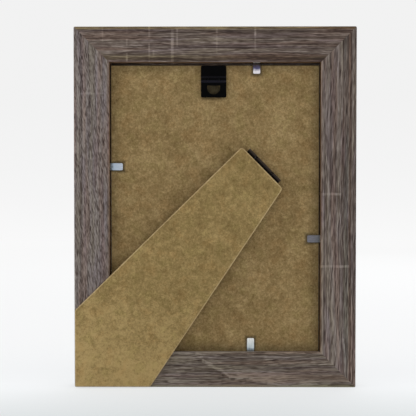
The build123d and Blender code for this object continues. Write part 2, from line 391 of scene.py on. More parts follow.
def wood_grain_foil(name, along, inward, start, looks):
    """Brushed-oak foil whose grain runs along one axis of the frame.

    inward and start give the way in from the frame's outer edge along the other axis."""
    foil = Finish(name)
    x, y, z = foil.axes(foil.place)
    length, side = (x, z) if along == "X" else (z, x)
    across = foil.math("MULTIPLY_ADD", side, inward, start)
    seed = looks["seed"]

    def grain(over, cells, shift, detail=1.0):
        """Noise drawn out along the rail."""
        return foil.noise(foil.stretch(foil.join(length, over, y), cells, shift), detail=detail)

    def leaning_grain(run, breadth, lean, shift, detail=1.0):
        """Noise of a given run and breadth, in millimetres, that leans across the rail."""
        cells = (1 / (run * MM), 1 / (breadth * MM), 1 / (breadth * MM))
        return grain(foil.plus(swayed, length, lean), cells, shift, detail)

    def stripe(over, middle, half_width):
        return foil.line(over, middle, half_width * MM, half_width * MM)

    sway = foil.swing(0.0, grain(across, wander_cells, (seed, seed, 0)), looks["sway"] * MM)
    swayed = foil.math("ADD", across, sway)
    # Tone along the rail, which also paints it lighter towards the floor and the left side, where more
    # light falls.
    (low_place, low_tone), (high_place, high_tone) = looks["ends"]
    value = foil.fade(length, low_place * MM, high_place * MM, low_tone, high_tone)
    relief = 0.0
    for run, breadth, amount, lean in looks["streaks"]:
        streaks = leaning_grain(run, breadth, lean, (seed, run, breadth))
        value = foil.swing(value, streaks, amount)
        relief = foil.plus(relief, streaks, amount)
    hairs = grain(swayed, hair_cells, (seed, 0, seed), 2)
    value = foil.swing(value, hairs, 0.5)
    relief = foil.plus(relief, hairs, 0.3)
    run, breadth, amount, lean = looks["pores"]
    slits = foil.fade(leaning_grain(run, breadth, lean, (run, seed, amount), 0.5), 0.58, 0.68)
    value = foil.plus(value, slits, -amount)
    relief = foil.plus(relief, slits, -amount)
    for middle, half_width, amount in looks["lines"]:
        value = foil.plus(value, stripe(swayed, middle * MM, half_width), amount)
    broken = foil.fade(streaks, 0.36, 0.6, 0.3, 1.15)
    for place, way_in, far_place, far_way_in, half_width, amount in looks["figure"]:
        share = foil.math("DIVIDE", foil.math("SUBTRACT", length, place * MM), (far_place - place) * MM)
        middle = foil.math("MULTIPLY_ADD", share, (far_way_in - way_in) * MM, way_in * MM)
        mark = foil.math("MULTIPLY", stripe(swayed, middle, half_width), foil.line(share, 0.5, 0.45, 0.12))
        value = foil.plus(value, foil.math("MULTIPLY", mark, broken), amount)
    wear = foil.fade(grain(swayed, wear_cells, (seed, seed, seed), 2), 0.36, 0.6, 0.5, 1.0)
    sawn = foil.plus(length, sway, 0.4)
    for middle, half_width, amount, outer, inner in looks["saw_marks"]:
        mark = foil.line(sawn, middle * MM, half_width * MM, 0.5 * MM)
        reach = foil.line(swayed, (outer + inner) / 2 * MM, (inner - outer) / 2 * MM, 1.2 * MM)
        worn = foil.math("MULTIPLY", foil.math("MULTIPLY", mark, reach), wear)
        value = foil.plus(value, worn, amount)
    colour = foil.ramp(
        value,
        (0.0, srgb(52, 41, 35)),
        (0.25, srgb(77, 65, 58)),
        (0.5, srgb(97, 86, 79)),
        (0.75, srgb(117, 107, 100)),
        (1.0, srgb(142, 132, 124)),
    )
    warmth = grain(swayed, warmth_cells, (-seed, 0, seed))
    colour = foil.tinted(foil.fade(warmth, 0.5, 0.66, 0.0, 0.6), colour, (255, 233, 222))
    colour = foil.tinted(foil.fade(warmth, 0.5, 0.34, 0.0, 0.55), colour, (247, 246, 226))
    mauve = grain(swayed, mauve_cells, (0, seed, -seed))
    colour = foil.tinted(foil.fade(mauve, 0.5, 0.62, 0.0, 0.5), colour, (240, 236, 255))
    colour = foil.tinted(1.0, colour, looks["cast"])
    for middle, half_width, tint in looks["tinted_lines"]:
        colour = foil.tinted(stripe(across, middle * MM, half_width), colour, tint)
    foil.set(Base_Color=colour, Roughness=foil.fade(value, 0.2, 0.8, 0.66, 0.5), Specular_IOR_Level=0.25)
    foil.bump(relief, looks["relief"] * MM)
    return foil.material


def hardboard(name, base, pale, dark, mottling=1.0, painted_light=(), shaded=False):
    """Raw hardboard: pressed brown fibre, mottled warm and olive, with hair-thin pale and dark fibres.

    painted_light gives heights between which it is painted paler downwards, and how much: painted light
    from the floor on the strut's foot.
    shaded paints shade onto the backing board: along its rim, round the tabs, under the hanger and in the
    hanger's hole."""
    board = Finish(name)
    layers = [board.noise(board.place, cells, 2, roughness) for cells, roughness in mottle_cells]
    clouds, blots, flecks, specks = layers
    height = board.axes(board.place)[2]
    value = 0.5
    # Painted light: paler downwards between the given heights.
    for foot, rise, amount in painted_light:
        value = board.math("ADD", board.fade(height, foot, rise, amount, 0.0), value)
    for layer, amount in ((clouds, 0.6), (blots, 0.76), (flecks, 1.12), (specks, 0.65)):
        value = board.swing(value, layer, mottling * amount)
    colour = board.ramp(value, (0.0, dark), (0.5, base), (1.0, pale))
    patches = board.noise(board.stretch(board.place, shift=(7, 0, 3)), warm_patch_cells, 2, 0.6)
    colour = board.tinted(board.fade(patches, 0.5, 0.68, 0.0, 0.36), colour, (255, 240, 226))
    colour = board.tinted(board.fade(patches, 0.5, 0.32, 0.0, 0.36), colour, (240, 248, 228))
    fibres = 0.0
    for degrees in fibre_turns:
        turned = board.stretch(board.place, turn=(0, math.radians(degrees), 0))
        strands = board.noise(board.stretch(turned, fibre_cells, (degrees, 0, 0)), detail=1)
        dents = board.fade(board.math("SUBTRACT", 1.0, strands), 0.62, 0.74)
        colour = board.mix(board.math("MULTIPLY", dents, 0.3), colour, dark)
        fibres = board.math("MAXIMUM", fibres, board.fade(strands, 0.62, 0.74))
    colour = board.mix(board.math("MULTIPLY", fibres, 0.3), colour, pale)
    # Painted shade, as a bluish-grey tint.
    if shaded:
        colour = board.tinted(painted_shade(board), colour, (120, 127, 136))
    board.set(Base_Color=colour, Roughness=0.85, Specular_IOR_Level=0.15)
    board.bump(board.math("ADD", flecks, fibres), 0.06 * MM)
    return board.material


def painted_shade(board):
    """Painted shade on the backing board: along its rim, deeper on the right side and at the foot, round
    the tabs, under the hanger, and deepest inside the hanger's hole."""
    x, _, z = board.axes(board.place)
    cloud = board.noise(board.place, shade_cells, 2)
    in_right = board.math("SUBTRACT", x, board_low.x)
    in_side = board.math("SUBTRACT", board_high.x, board.math("ABSOLUTE", x))
    in_top = board.math("SUBTRACT", board_high.z, z)
    in_foot = board.math("SUBTRACT", z, board_low.z)
    rim = board.math("MINIMUM", in_side, board.math("MINIMUM", in_top, in_foot))
    # Painted shade along the rim, deeper on the right side and at the foot.
    shade_marks = [
        board.fade(board.swing(rim, cloud, 4 * MM), 0.5 * MM, 7 * MM, 0.24, 0.0),
        board.fade(in_right, 0.5 * MM, 8 * MM, 0.36, 0.0),
        board.fade(in_foot, 0.5 * MM, 9 * MM, 0.48, 0.0),
    ]
    # Painted shadow round each tab.
    for tab in ("tab_top", "tab_bottom", "tab_left", "tab_right"):
        low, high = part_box(tab)
        middle, half = (low + high) / 2, (high - low) / 2
        beside = board.math("SUBTRACT", board.distance(x, middle.x), half.x)
        level = board.math("SUBTRACT", board.distance(z, middle.z), half.z)
        shade_marks.append(board.fade(board.math("MAXIMUM", beside, level), 0.4 * MM, 2.5 * MM, 0.72, 0.0))
    # Painted shadow under the hanger's flap.
    pivot = pivots["hanger_flip"]
    low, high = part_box("hanger_flap")
    half_width = high.x - pivot.x
    under = board.fade(board.distance(x, pivot.x), half_width - 1.5 * MM, half_width, 0.5, 0.0)
    shade_marks.append(board.math("MULTIPLY", under, board.line(z, low.z, 0.5 * MM, 1.6 * MM)))
    # Painted shade, deepest, inside the hanger's hole.
    hole_middle = pivot.z - (hanger_hole_top + hanger_hole_foot) / 2
    hole_half_height = (hanger_hole_foot - hanger_hole_top) / 2
    beside = board.math("DIVIDE", board.math("SUBTRACT", x, pivot.x), hanger_hole_width / 2)
    level = board.math("DIVIDE", board.math("SUBTRACT", z, hole_middle), hole_half_height)
    oval = board.math("ADD", board.math("MULTIPLY", beside, beside), board.math("MULTIPLY", level, level))
    shade_marks.append(board.fade(board.swing(oval, cloud, 1.5), 0.9, 2.6, 1.0, 0.0))
    deepest_shade = 0.0
    for share in shade_marks:
        deepest_shade = board.math("MAXIMUM", deepest_shade, share)
    return deepest_shade


def raw_core(name):
    """The bare wood-fibre core that shows where the foil ends, inside the rabbet."""
    core = Finish(name)
    fibre = core.noise(core.place, speck_cells, 3)
    colour = core.ramp(fibre, (0.3, srgb(98, 72, 48)), (0.7, srgb(126, 96, 66)))
    core.set(Base_Color=colour, Roughness=0.9, Specular_IOR_Level=0.1)
    core.bump(fibre, 0.05 * MM)
    return core.material


def black_steel(name, pivot, outward, highlight_lines):
    """Black stoved paint on steel, a little orange-peeled, with grey highlights painted along a hinge's
    barrel.

    highlight_lines gives places out from the pivot, half widths, blurs and tones of the grey highlights
    painted along the barrel."""
    paint = Finish(name)
    peel = paint.noise(paint.place, peel_cells, 2)
    worn = paint.noise(paint.place, paint_wear_cells, 3)
    colour = paint.ramp(worn, (0.3, srgb(3, 3, 3)), (0.7, srgb(5, 5, 6)))
    x, _, z = paint.axes(paint.place)
    out = paint.plus(paint.math("MULTIPLY", z, outward.z), x, outward.x)
    out = paint.math("SUBTRACT", out, pivot.dot(outward))
    # Painted highlights: grey lines along the barrel where it catches the light.
    for middle, half_width, blur, tone in highlight_lines:
        painted_light = paint.line(out, middle * MM, half_width * MM, blur * MM)
        colour = paint.mix(painted_light, colour, srgb(*tone))
    paint.set(Base_Color=colour, Roughness=paint.fade(worn, 0.3, 0.7, 0.3, 0.42), Specular_IOR_Level=0.025)
    paint.bump(peel, fine_relief)
    return paint.material


def zinc_plate(name, base, rough):
    """Zinc plate or plain steel, faintly spotted."""
    zinc = Finish(name)
    spots = zinc.noise(zinc.place, speck_cells, 2)
    colour = zinc.ramp(spots, (0.3, tuple(0.85 * c for c in base[:3]) + (1,)), (0.7, base))
    zinc.set(Base_Color=colour, Metallic=1.0, Roughness=zinc.fade(spots, 0.3, 0.7, rough, rough + 0.12))
    zinc.bump(spots, fine_relief)
    return zinc.material


def tab_zinc(name, root, way, reach, tones):
    """Zinc plate on a bent tab, drawn along the strip, whose tones run from its bend to its tip: painted
    shade at the bend and painted reflection along the strip.
    """
    zinc = Finish(name)
    x, _, z = zinc.axes(zinc.place)
    along = zinc.plus(zinc.math("MULTIPLY", z, way.z), x, way.x)
    share = zinc.math("DIVIDE", zinc.math("SUBTRACT", along, root.dot(way)), reach)
    spots = zinc.noise(zinc.place, speck_cells, 2)
    cells = [drawn_cells_along if abs(part) > mostly else drawn_cells_across for part in way]
    drawn = zinc.noise(zinc.stretch(zinc.place, cells), detail=2)
    share = zinc.swing(share, spots, 0.3)
    # The tones paint shade at the bend and reflection along the strip.
    colour = zinc.ramp(share, *((place, srgb(*tone)) for place, tone in tones))
    colour = zinc.tinted(zinc.fade(drawn, 0.35, 0.65, 0.0, 0.25), colour, (140, 144, 150))
    zinc.set(Base_Color=colour, Metallic=1.0, Roughness=zinc.fade(drawn, 0.3, 0.7, 0.32, 0.46))
    zinc.bump(drawn, fine_relief)
    return zinc.material


def clear_glass(name):
    """Clear float glass that lets the lamps through to the print."""
    glass = Finish(name)
    haze = glass.noise(glass.place, haze_cells, 2)
    glass.set(Base_Color=srgb(244, 250, 248), Transmission_Weight=1.0, IOR=1.5)
    glass.set(Roughness=glass.fade(haze, 0.4, 0.8, 0.0, 0.02))
    path = glass.add("ShaderNodeLightPath")
    through = glass.add("ShaderNodeBsdfTransparent")
    through.inputs["Color"].default_value = srgb(246, 250, 248)
    mixed = glass.add("ShaderNodeMixShader")
    shade = glass.math("MAXIMUM", path.outputs["Is Shadow Ray"], path.outputs["Is Diffuse Ray"])
    glass.feed(mixed.inputs[0], shade)
    glass.feed(mixed.inputs[1], glass.surface.outputs[0])
    glass.feed(mixed.inputs[2], through.outputs[0])
    glass.feed(glass.tree.nodes["Material Output"].inputs["Surface"], mixed.outputs[0])
    return glass.material


def hills_print(name):
    """A generic print of plain misty hills inside a white border."""
    paper = Finish(name)
    x, _, z = paper.axes(paper.place)
    low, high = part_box("photo_print")
    middle = (low + high) / 2
    border = 6 * MM
    edge = 0.1 * MM
    sky_foot = low.z + 60 * MM
    sky = paper.fade(z, sky_foot, high.z)
    colour = paper.ramp(sky, (0.0, srgb(226, 214, 196)), (1.0, srgb(150, 172, 186)))
    ridges = (
        (112, 20, 18, srgb(168, 178, 178)),
        (92, 24, 26, srgb(128, 146, 142)),
        (66, 20, 34, srgb(92, 114, 104)),
        (42, 16, 48, srgb(62, 80, 68)),
    )
    for height, swing, pace, tint in ridges:
        line = paper.noise(paper.join(x, height, 0.0), pace, 3)
        crest = paper.plus((height - swing) * MM + low.z / 2, line, 2 * swing * MM)
        below = paper.fade(paper.math("SUBTRACT", crest, z), 0.0, 4 * edge)
        colour = paper.mix(below, colour, tint)
    inside_x = paper.line(x, 0.0, high.x - border, edge)
    inside_z = paper.line(z, middle.z, (high.z - low.z) / 2 - border, edge)
    fibre = paper.noise(paper.place, speck_cells, 2)
    white = paper.ramp(fibre, (0.3, srgb(232, 231, 226)), (0.7, srgb(240, 239, 235)))
    colour = paper.mix(paper.math("MULTIPLY", inside_x, inside_z), white, colour)
    paper.set(Base_Color=colour, Roughness=paper.fade(fibre, 0.3, 0.7, 0.35, 0.45))
    return paper.material


# Pieces


def moulded_rail(node, length, turn, place, foil, core):
    """One rail: a block with its lip drawn out, edges rounded, corners mitred, turned to its side."""
    rail = block(
        node + "_moulding",
        Vector((-length / 2, front_level, 0)),
        Vector((length / 2, back_level, rail_width)),
    )
    start_edit(rail)
    bpy.ops.mesh.bisect(plane_co=(0, lip_level, 0), plane_no=(0, 1, 0))
    pick(rail, "FACE", lambda middle, normal: normal.z > mostly and middle.y < lip_level)
    bpy.ops.mesh.extrude_region_move(TRANSFORM_OT_translate={"value": (0, 0, face_width - rail_width)})
    for level, radius in ((back_level, back_edge_radius), (front_level, front_edge_radius)):
        pick(rail, "EDGE", lambda middle, way: abs(way.x) > mostly and abs(middle.y - level) < touching)
        bpy.ops.mesh.bevel(offset=radius, segments=5, affect="EDGES")
    for side in (1, -1):
        centre = Vector((side * (length / 2 - outline_radius), 0, outline_radius))
        for degrees in corner_cuts:
            angle = math.radians(degrees)
            outward = Vector((side * math.sin(angle), 0, -math.cos(angle)))
            saw(centre + outline_radius * outward, outward)
        saw((side * length / 2, 0, 0), (side, 0, 1))
    rail.data.materials.append(foil)
    rail.data.materials.append(core)
    pick(rail, "FACE", lambda middle, normal: normal.z > mostly and middle.y > lip_level)
    rail.active_material_index = 1
    bpy.ops.object.material_slot_assign()
    end_edit()
    rail.rotation_euler = (0, turn, 0)
    rail.location = place
    bpy.ops.object.transform_apply(location=True, rotation=True, scale=True)
    finish_piece(rail, "frame_body", "wood_wrap", node)


def strut_board(face, edge):
    """The strut: a hardboard blank sawn to its slopes, with rounded corners and a softened rim."""
    spare = strut_end_radius
    strut = block(
        "strut_board",
        strut_low - Vector((spare, 0, 0)),
        strut_high + Vector((0, 0, spare)),
    )
    down = Vector((math.cos(strut_slope), 0, -math.sin(strut_slope)))
    over = Vector((-math.sin(strut_slope), 0, -math.cos(strut_slope)))
    flared = strut_slope + strut_flare
    flare_out = Vector((-math.sin(flared), 0, -math.cos(flared)))
    start_edit(strut)
    saw(strut_end, -down)
    saw(strut_end - over * strut_end_width / 2, -over)
    saw(strut_end + over * strut_end_width / 2, flare_out)
    near = 0.6 * strut_end_width
    far = 2 * near
    pick(strut, "EDGE", lambda middle, way: abs(way.y) > mostly and (middle - strut_end).xz.length < near)
    bpy.ops.mesh.bevel(offset=strut_end_radius, segments=6, affect="EDGES")
    pick(strut, "EDGE", lambda middle, way: abs(way.y) > mostly and (middle - strut_end).xz.length > far)
    bpy.ops.mesh.bevel(offset=strut_foot_radius, segments=4, affect="EDGES")
    pick(strut, "EDGE", lambda middle, way: abs(way.y) < hardly)
    bpy.ops.mesh.bevel(offset=strut_rim, segments=3, affect="EDGES")
    strut.data.materials.append(face)
    strut.data.materials.append(edge)
    pick(strut, "FACE", lambda middle, normal: abs(normal.y) < squarely)
    strut.active_material_index = 1
    bpy.ops.object.material_slot_assign()
    end_edit()
    finish_piece(strut, "strut_body", "hardboard", "easel_strut")


def rolled_hanger_plate(paint):
    """The hanger's fixed plate: a notched sheet whose two outer lugs are rolled round the pin."""
    pivot = pivots["hanger_flip"]
    low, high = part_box("hanger_plate")
    level = pivot.y - hanger_roll
    plate = sheet_blank(
        "hanger_plate_sheet",
        Vector((low.x, level, pivot.z)),
        Vector((high.x, level, high.z)),
    )
    notch = hanger_middle / 2 + hanger_gap
    notch_top = pivot.z + hanger_barrel + hanger_gap
    start_edit(plate)
    pick(plate, "VERT", lambda place, normal: place.z > notch_top)
    bpy.ops.mesh.bevel(offset=hanger_corner, segments=6, affect="VERTICES")
    for side in (1, -1):
        cut_line(pivot + Vector((side * notch, 0, 0)), (1, 0, 0))
    cut_line((0, 0, notch_top), (0, 0, 1))
    pick(plate, "FACE", lambda place, normal: abs(place.x - pivot.x) < notch and place.z < notch_top)
    bpy.ops.mesh.delete(type="FACE")
    pick(plate, "EDGE", lambda place, way: place.z < pivot.z + touching)
    bpy.ops.mesh.spin(steps=roll_steps, angle=-roll_turn, center=pivot, axis=(1, 0, 0))
    even_sheet()
    end_edit()
    apply_modifier(plate, "SOLIDIFY", thickness=hanger_sheet, offset=0, use_even_offset=True)
    apply_modifier(plate, "BEVEL", width=hanger_rim, segments=3, limit_method="ANGLE")
    plate.data.materials.append(paint)
    finish_piece(plate, "frame_body", "black_metal", "hanger_plate")


def rolled_hanger_flap(paint):
    """The hanger's flap: a sheet jogged and rolled round the pin, with a D-shaped hole cut through."""
    pivot = pivots["hanger_flip"]
    low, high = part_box("hanger_flap")
    shoulder = pivot.z - hanger_barrel - hanger_gap
    flap = sheet_blank(
        "hanger_flap_sheet",
        Vector((low.x, pivot.y, low.z)),
        Vector((high.x, pivot.y, shoulder)),
    )
    half_middle = hanger_middle / 2
    jog_turn = math.acos(hanger_jog / (hanger_jog + hanger_roll))
    jog_start = pivot.z - (hanger_roll + hanger_jog) * math.sin(jog_turn)
    start_edit(flap)
    pick(flap, "VERT", lambda place, normal: place.z < shoulder - hanger_corner)
    bpy.ops.mesh.bevel(offset=hanger_corner, segments=6, affect="VERTICES")
    for side in (1, -1):
        cut_line(pivot + Vector((side * half_middle, 0, 0)), (1, 0, 0))
    ledge = shoulder - touching
    reach = half_middle - touching
    pick(flap, "EDGE", lambda place, way: place.z > ledge and abs(place.x - pivot.x) < reach)
    bpy.ops.mesh.extrude_region_move(TRANSFORM_OT_translate={"value": (0, 0, jog_start - shoulder)})
    jog_centre = Vector((pivot.x, pivot.y + hanger_jog, jog_start))
    bpy.ops.mesh.spin(steps=jog_steps, angle=jog_turn, center=jog_centre, axis=(1, 0, 0))
    bpy.ops.mesh.spin(steps=roll_steps, angle=-roll_turn, center=pivot, axis=(1, 0, 0))
    even_sheet()
    end_edit()
    apply_modifier(flap, "SOLIDIFY", thickness=hanger_sheet, offset=0, use_even_offset=True)
    punch = hole_punch(pivot)
    apply_modifier(flap, "BOOLEAN", operation="DIFFERENCE", solver="EXACT", object=punch)
    bpy.data.objects.remove(punch)
    apply_modifier(flap, "BEVEL", width=hanger_rim, segments=3, limit_method="ANGLE")
    flap.data.materials.append(paint)
    finish_piece(flap, "flap_body", "black_metal", "hanger_flap")


def hole_punch(pivot):
    """The D-shaped punch that cuts the flap's hole: half a round bar with its flat side drawn up."""
    radius = hanger_hole_width / 2
    centre = pivot - Vector((0, 0, hanger_hole_foot - radius))
    deselect()
    bpy.ops.mesh.primitive_cylinder_add(
        vertices=64, radius=radius, depth=4 * hanger_sheet, location=centre, rotation=(math.pi / 2, 0, 0),
    )
    punch = bpy.context.object
    bpy.ops.object.transform_apply(location=True, rotation=True, scale=True)
    start_edit(punch)
    saw(centre, (0, 0, 1))
    pick(punch, "FACE", lambda place, normal: normal.z > mostly)
    rise = hanger_hole_foot - hanger_hole_top - radius
    bpy.ops.mesh.extrude_region_move(TRANSFORM_OT_translate={"value": (0, 0, rise)})
    end_edit()
    return punch


def steel_tab(node, body, root, tip, zinc):
    """A bent-over tab: a strip with a rounded tip, softened rims and a slight bow along its length."""
    low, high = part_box(node)
    tab = block(node + "_strip", low, high)
    way = (tip - root).normalized()
    reach = (tip - root).length
    start_edit(tab)
    pick(tab, "EDGE", lambda place, run: abs(run.y) > mostly and (place - tip).dot(way) > -tab_end_slack)
    bpy.ops.mesh.bevel(offset=tab_tip_radius, segments=6, affect="EDGES")
    pick(
        tab,
        "EDGE",
        lambda place, run: abs(run.y) + abs(run.dot(way)) < hardly
        and (place - root).dot(way) < tab_end_slack,
    )
    bpy.ops.mesh.bevel(offset=(high.y - low.y) / 2 - tab_bend_flat, segments=6, affect="EDGES")
    pick(tab, "EDGE", lambda place, run: abs(run.y) < hardly and (place - root).dot(way) > tab_rim_start)
    bpy.ops.mesh.bevel(offset=tab_rim, segments=2, affect="EDGES")
    for share, _ in tab_bow[:-1]:
        cut_line(root + way * reach * share, way)
    last_lift = 0.0
    for share, lift in tab_bow:
        lifted = reach * share
        pick(tab, "VERT", lambda place, normal: (place - root).dot(way) > lifted - tab_bow_slack)
        bpy.ops.transform.translate(value=(0, lift - last_lift, 0))
        last_lift = lift
    end_edit()
    tab.data.materials.append(zinc)
    finish_piece(tab, body, "zinc_steel", node)


def dress(node, material):
    """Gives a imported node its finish."""
    nodes[node].data.materials.clear()
    nodes[node].data.materials.append(material)


# Grain of each rail, in millimetres: places along on the frame's own axis, places in from the outer edge.
# Shaded ends: two places along and the tone there, which changes smoothly between them. Besides the rail's
# own tone, this paints it lighter towards the floor and the left side, where more light falls.
# Cast: tint of the whole rail. Tinted lines: place in, half width, tint.
# Streaks and pores: run, breadth, strength, lean. Lines: place in, half width, strength.
# Figure: pale and dark marks and patches from one place along and in to another, half width, strength.
# Saw marks: place along, half width, strength, and the places in between which they run.
rail_looks = {
    "rail_left": {
        "seed": 3.1, "ends": ((20, 0.81), (170, 0.72)), "sway": 1.2, "relief": 0.12,
        "cast": (248, 250, 255),
        "tinted_lines": ((22.0, 0.5, (255, 240, 228)),),
        "streaks": ((90, 4.0, 0.4, 0), (160, 1.2, 0.5, 0), (4.6, 0.7, 1.3, 0.12), (2.4, 0.55, 0.9, 0.12)),
        "pores": (4.6, 0.55, 0.44, 0.12),
        "lines": (
            (1.3, 0.4, -0.1), (2.8, 0.4, 0.18), (4.6, 0.5, -0.24), (6.1, 0.3, 0.1), (7.0, 0.3, -0.1),
            (8.8, 0.4, -0.07), (11.4, 0.4, -0.07), (15.0, 0.5, 0.16), (18.5, 0.45, -0.1),
            (19.8, 0.4, 0.08), (21.4, 0.7, 0.04),
        ),
        "figure": ((150, 13, 120, 9, 0.7, 0.12), (112, 8, 92, 12, 0.8, -0.12)),
        "saw_marks": ((186.8, 0.3, 0.24, 4.5, 18.4), (186.8, 0.45, 0.26, 7.8, 10.8)),
    },
    "rail_top": {
        "seed": 7.7, "ends": ((-60, 0.46), (20, 0.59)), "sway": 0.9, "relief": 0.1,
        "cast": (255, 251, 248),
        "tinted_lines": ((0.9, 0.45, (248, 238, 190)), (19.8, 0.9, (250, 248, 226))),
        "streaks": ((140, 3.5, 0.6, 0), (60, 0.9, 0.8, 0), (12, 0.65, 1.2, 0), (4, 0.55, 0.9, 0)),
        "pores": (14, 0.6, 0.36, 0),
        "lines": (
            (1.0, 0.7, 0.12), (3.2, 0.5, -0.28), (4.6, 0.35, 0.07), (7.5, 0.3, -0.16),
            (8.7, 0.7, 0.08), (11.4, 0.35, -0.15), (13.3, 0.4, -0.2), (15.8, 0.7, 0.12),
            (17.9, 0.3, -0.1), (18.9, 0.4, 0.16), (19.8, 1.0, -0.16), (21.1, 0.5, -0.16),
            (21.9, 0.4, 0.06),
        ),
        "figure": (
            (66, 12.4, 45, 12.4, 0.9, 0.2), (56, 16.6, 42, 16.6, 0.9, -0.2),
            (40, 4.6, 12, 4.4, 0.9, -0.16), (6, 12.2, -20, 13.2, 0.8, -0.16),
            (-46, 11.2, -70, 10.6, 0.5, -0.22), (-40, 12.6, -66, 12.2, 0.6, 0.16),
            (-22, 5.4, -60, 5.8, 1.4, -0.14), (86, 5.6, 66, 6.2, 1.8, 0.12),
            (4, 8.4, -15, 8.6, 1.3, 0.13),
        ),
        "saw_marks": (
            (71.1, 0.3, 0.22, 0.6, 8.9), (55.7, 0.25, 0.16, 1.2, 4.2), (55.7, 0.3, 0.44, 8.4, 11.9),
            (55.7, 0.35, 0.46, 17.2, 21.4), (41.6, 0.35, 0.46, 0.3, 6.4),
            (41.6, 0.3, 0.32, 11.0, 22.2), (38.9, 0.3, 0.36, 15.5, 18.4), (27.0, 0.6, 0.46, 2.5, 22.2),
            (27.0, 0.6, 0.14, 7.0, 14.0), (23.9, 0.3, 0.32, 1.9, 12.0), (-1.1, 0.35, 0.46, 0.4, 3.4),
            (-1.1, 0.3, 0.22, 3.4, 16.0), (-25.4, 0.35, 0.52, 0.6, 5.2), (-25.4, 0.3, 0.24, 5.2, 14.6),
        ),
    },
    "rail_right": {
        "seed": 12.4, "ends": ((20, 0.71), (100, 0.64)), "sway": 1.8, "relief": 0.1,
        "cast": (252, 251, 252),
        "tinted_lines": (
            (6.2, 1.1, (240, 248, 250)), (4.2, 0.6, (255, 242, 232)), (22.0, 0.5, (255, 246, 236)),
        ),
        "streaks": ((140, 3.5, 0.4, 0), (45, 0.9, 0.8, 0), (11, 0.65, 1.3, 0.03), (5, 0.55, 0.8, 0.05)),
        "pores": (9, 0.6, 0.44, 0.03),
        "lines": (
            (0.9, 0.6, -0.22), (2.4, 0.35, 0.08), (4.0, 3.0, -0.05), (3.6, 0.4, -0.28),
            (5.0, 0.3, 0.1), (6.2, 1.1, -0.08), (8.7, 0.5, -0.2), (10.3, 0.4, 0.1), (12.1, 0.4, 0.1),
            (13.5, 0.35, -0.09), (14.9, 0.4, 0.09), (17.5, 0.4, 0.17), (20.3, 0.4, -0.27),
            (21.4, 0.6, 0.24),
        ),
        "figure": (
            (156, 17.5, 118, 14.5, 0.5, -0.24), (150, 14.0, 112, 11.0, 0.5, -0.2),
            (60, 17, 20, 10, 0.6, 0.12), (31, 7.9, 18, 6.7, 0.35, 0.4), (19, 6.8, 5, 7.2, 0.35, 0.45),
            (31, 6.6, 7, 5.9, 0.35, -0.26), (28, 8.8, 8, 8.3, 0.35, -0.22),
            (24, 0.9, 2, 1.0, 0.35, 0.36), (24, 2.1, 3, 2.0, 0.3, -0.22), (24, 3.2, 4, 3.0, 0.35, 0.3),
        ),
        "saw_marks": ((77.2, 0.5, 0.46, 5.0, 22.4), (123.1, 0.55, 0.44, 10.4, 22.4)),
    },
    "rail_bottom": {
        "seed": 19.9, "ends": ((-60, 0.69), (40, 0.72)), "sway": 1.9, "relief": 0.1,
        "cast": (254, 255, 248),
        "tinted_lines": ((0.8, 0.4, (240, 246, 222)),),
        "streaks": ((70, 4.0, 0.8, 0), (36, 0.9, 0.95, 0.01), (13, 0.6, 1.25, 0.02), (5, 0.5, 1.2, 0.02)),
        "pores": (7, 0.5, 0.52, 0.02),
        "lines": (
            # The first line paints the highlight where the rail's lower edge catches light from the floor.
            (0.3, 0.6, 0.6), (1.5, 0.35, 0.18), (4.1, 0.3, 0.2), (7.7, 0.3, 0.09), (11.8, 0.35, -0.08),
            (14.1, 0.5, -0.16), (17.2, 0.9, -0.13), (19.0, 0.35, 0.12), (20.4, 0.45, -0.14),
            (22.6, 0.5, 0.25),
        ),
        "figure": (
            (12.5, 21.6, 9.0, 19.6, 0.9, 0.3), (9.2, 20.4, 7.2, 17.6, 0.9, 0.36),
            (8.2, 17.2, 1.6, 14.3, 0.8, 0.44), (1.5, 13.6, -3.6, 11.0, 0.7, 0.36),
            (-3.4, 11.8, -9.2, 7.0, 0.6, 0.4), (-8.8, 6.9, -13.4, 6.3, 0.5, 0.55),
            (-13.0, 5.6, -21, 6.4, 0.55, 0.6), (-21.5, 4.7, -32, 3.5, 0.7, 0.36),
            (-26, 17, -40, 15, 0.8, 0.16), (-34, 3.4, -42, 2.0, 0.6, 0.4),
            (11, 16.9, 6.4, 16.3, 0.4, -0.3), (13, 11.6, 1, 11.0, 1.0, -0.28),
            (1, 11.6, -4, 9.4, 0.6, -0.28), (-4.5, 7.7, -8.8, 6.3, 0.6, -0.36),
            (-10, 5.0, -20, 4.3, 0.5, -0.32), (-19, 2.7, -33, 2.3, 0.8, -0.34),
            (-74, 1.6, -89, 1.4, 1.6, -0.28), (30, 14, 12, 12, 1.2, -0.06),
            (-13, 7.0, -37, 6.0, 2.2, 0.34), (-36, 1.6, -62, 1.2, 1.4, 0.32),
            (-46, 7.2, -84, 7.8, 3.6, -0.24), (-42, 15.4, -82, 14.2, 2.6, 0.13),
            (-5, 17.6, -31, 18.2, 2.6, -0.18), (22, 6.6, -6, 6.6, 1.8, -0.22),
            (28, 15.4, 15, 16, 2.4, 0.13), (-4, 10.8, -15, 10.2, 1.1, 0.2),
            (-4, 2.7, -17, 2.5, 1.1, -0.24), (-20.6, 20.8, -24.8, 20.8, 0.8, 0.24),
        ),
        "saw_marks": (),
    },
}


def build_rails():
    half_turn = math.pi
    quarter_turn = math.pi / 2
    middle = frame_height / 2
    sides = {
        "rail_bottom": (frame_width, 0, (0, 0, 0), "X", 1, 0),
        "rail_top": (frame_width, half_turn, (0, 0, frame_height), "X", -1, frame_height),
        "rail_left": (frame_height, -quarter_turn, (frame_width / 2, 0, middle), "Z", -1, frame_width / 2),
        "rail_right": (frame_height, quarter_turn, (-frame_width / 2, 0, middle), "Z", 1, frame_width / 2),
    }
    core = raw_core("raw wood core")
    for node, (length, turn, place, along, inward, start) in sides.items():
        foil = wood_grain_foil("foil " + node, along, inward, start, rail_looks[node])
        moulded_rail(node, length, turn, place, foil, foil if node == "rail_bottom" else core)


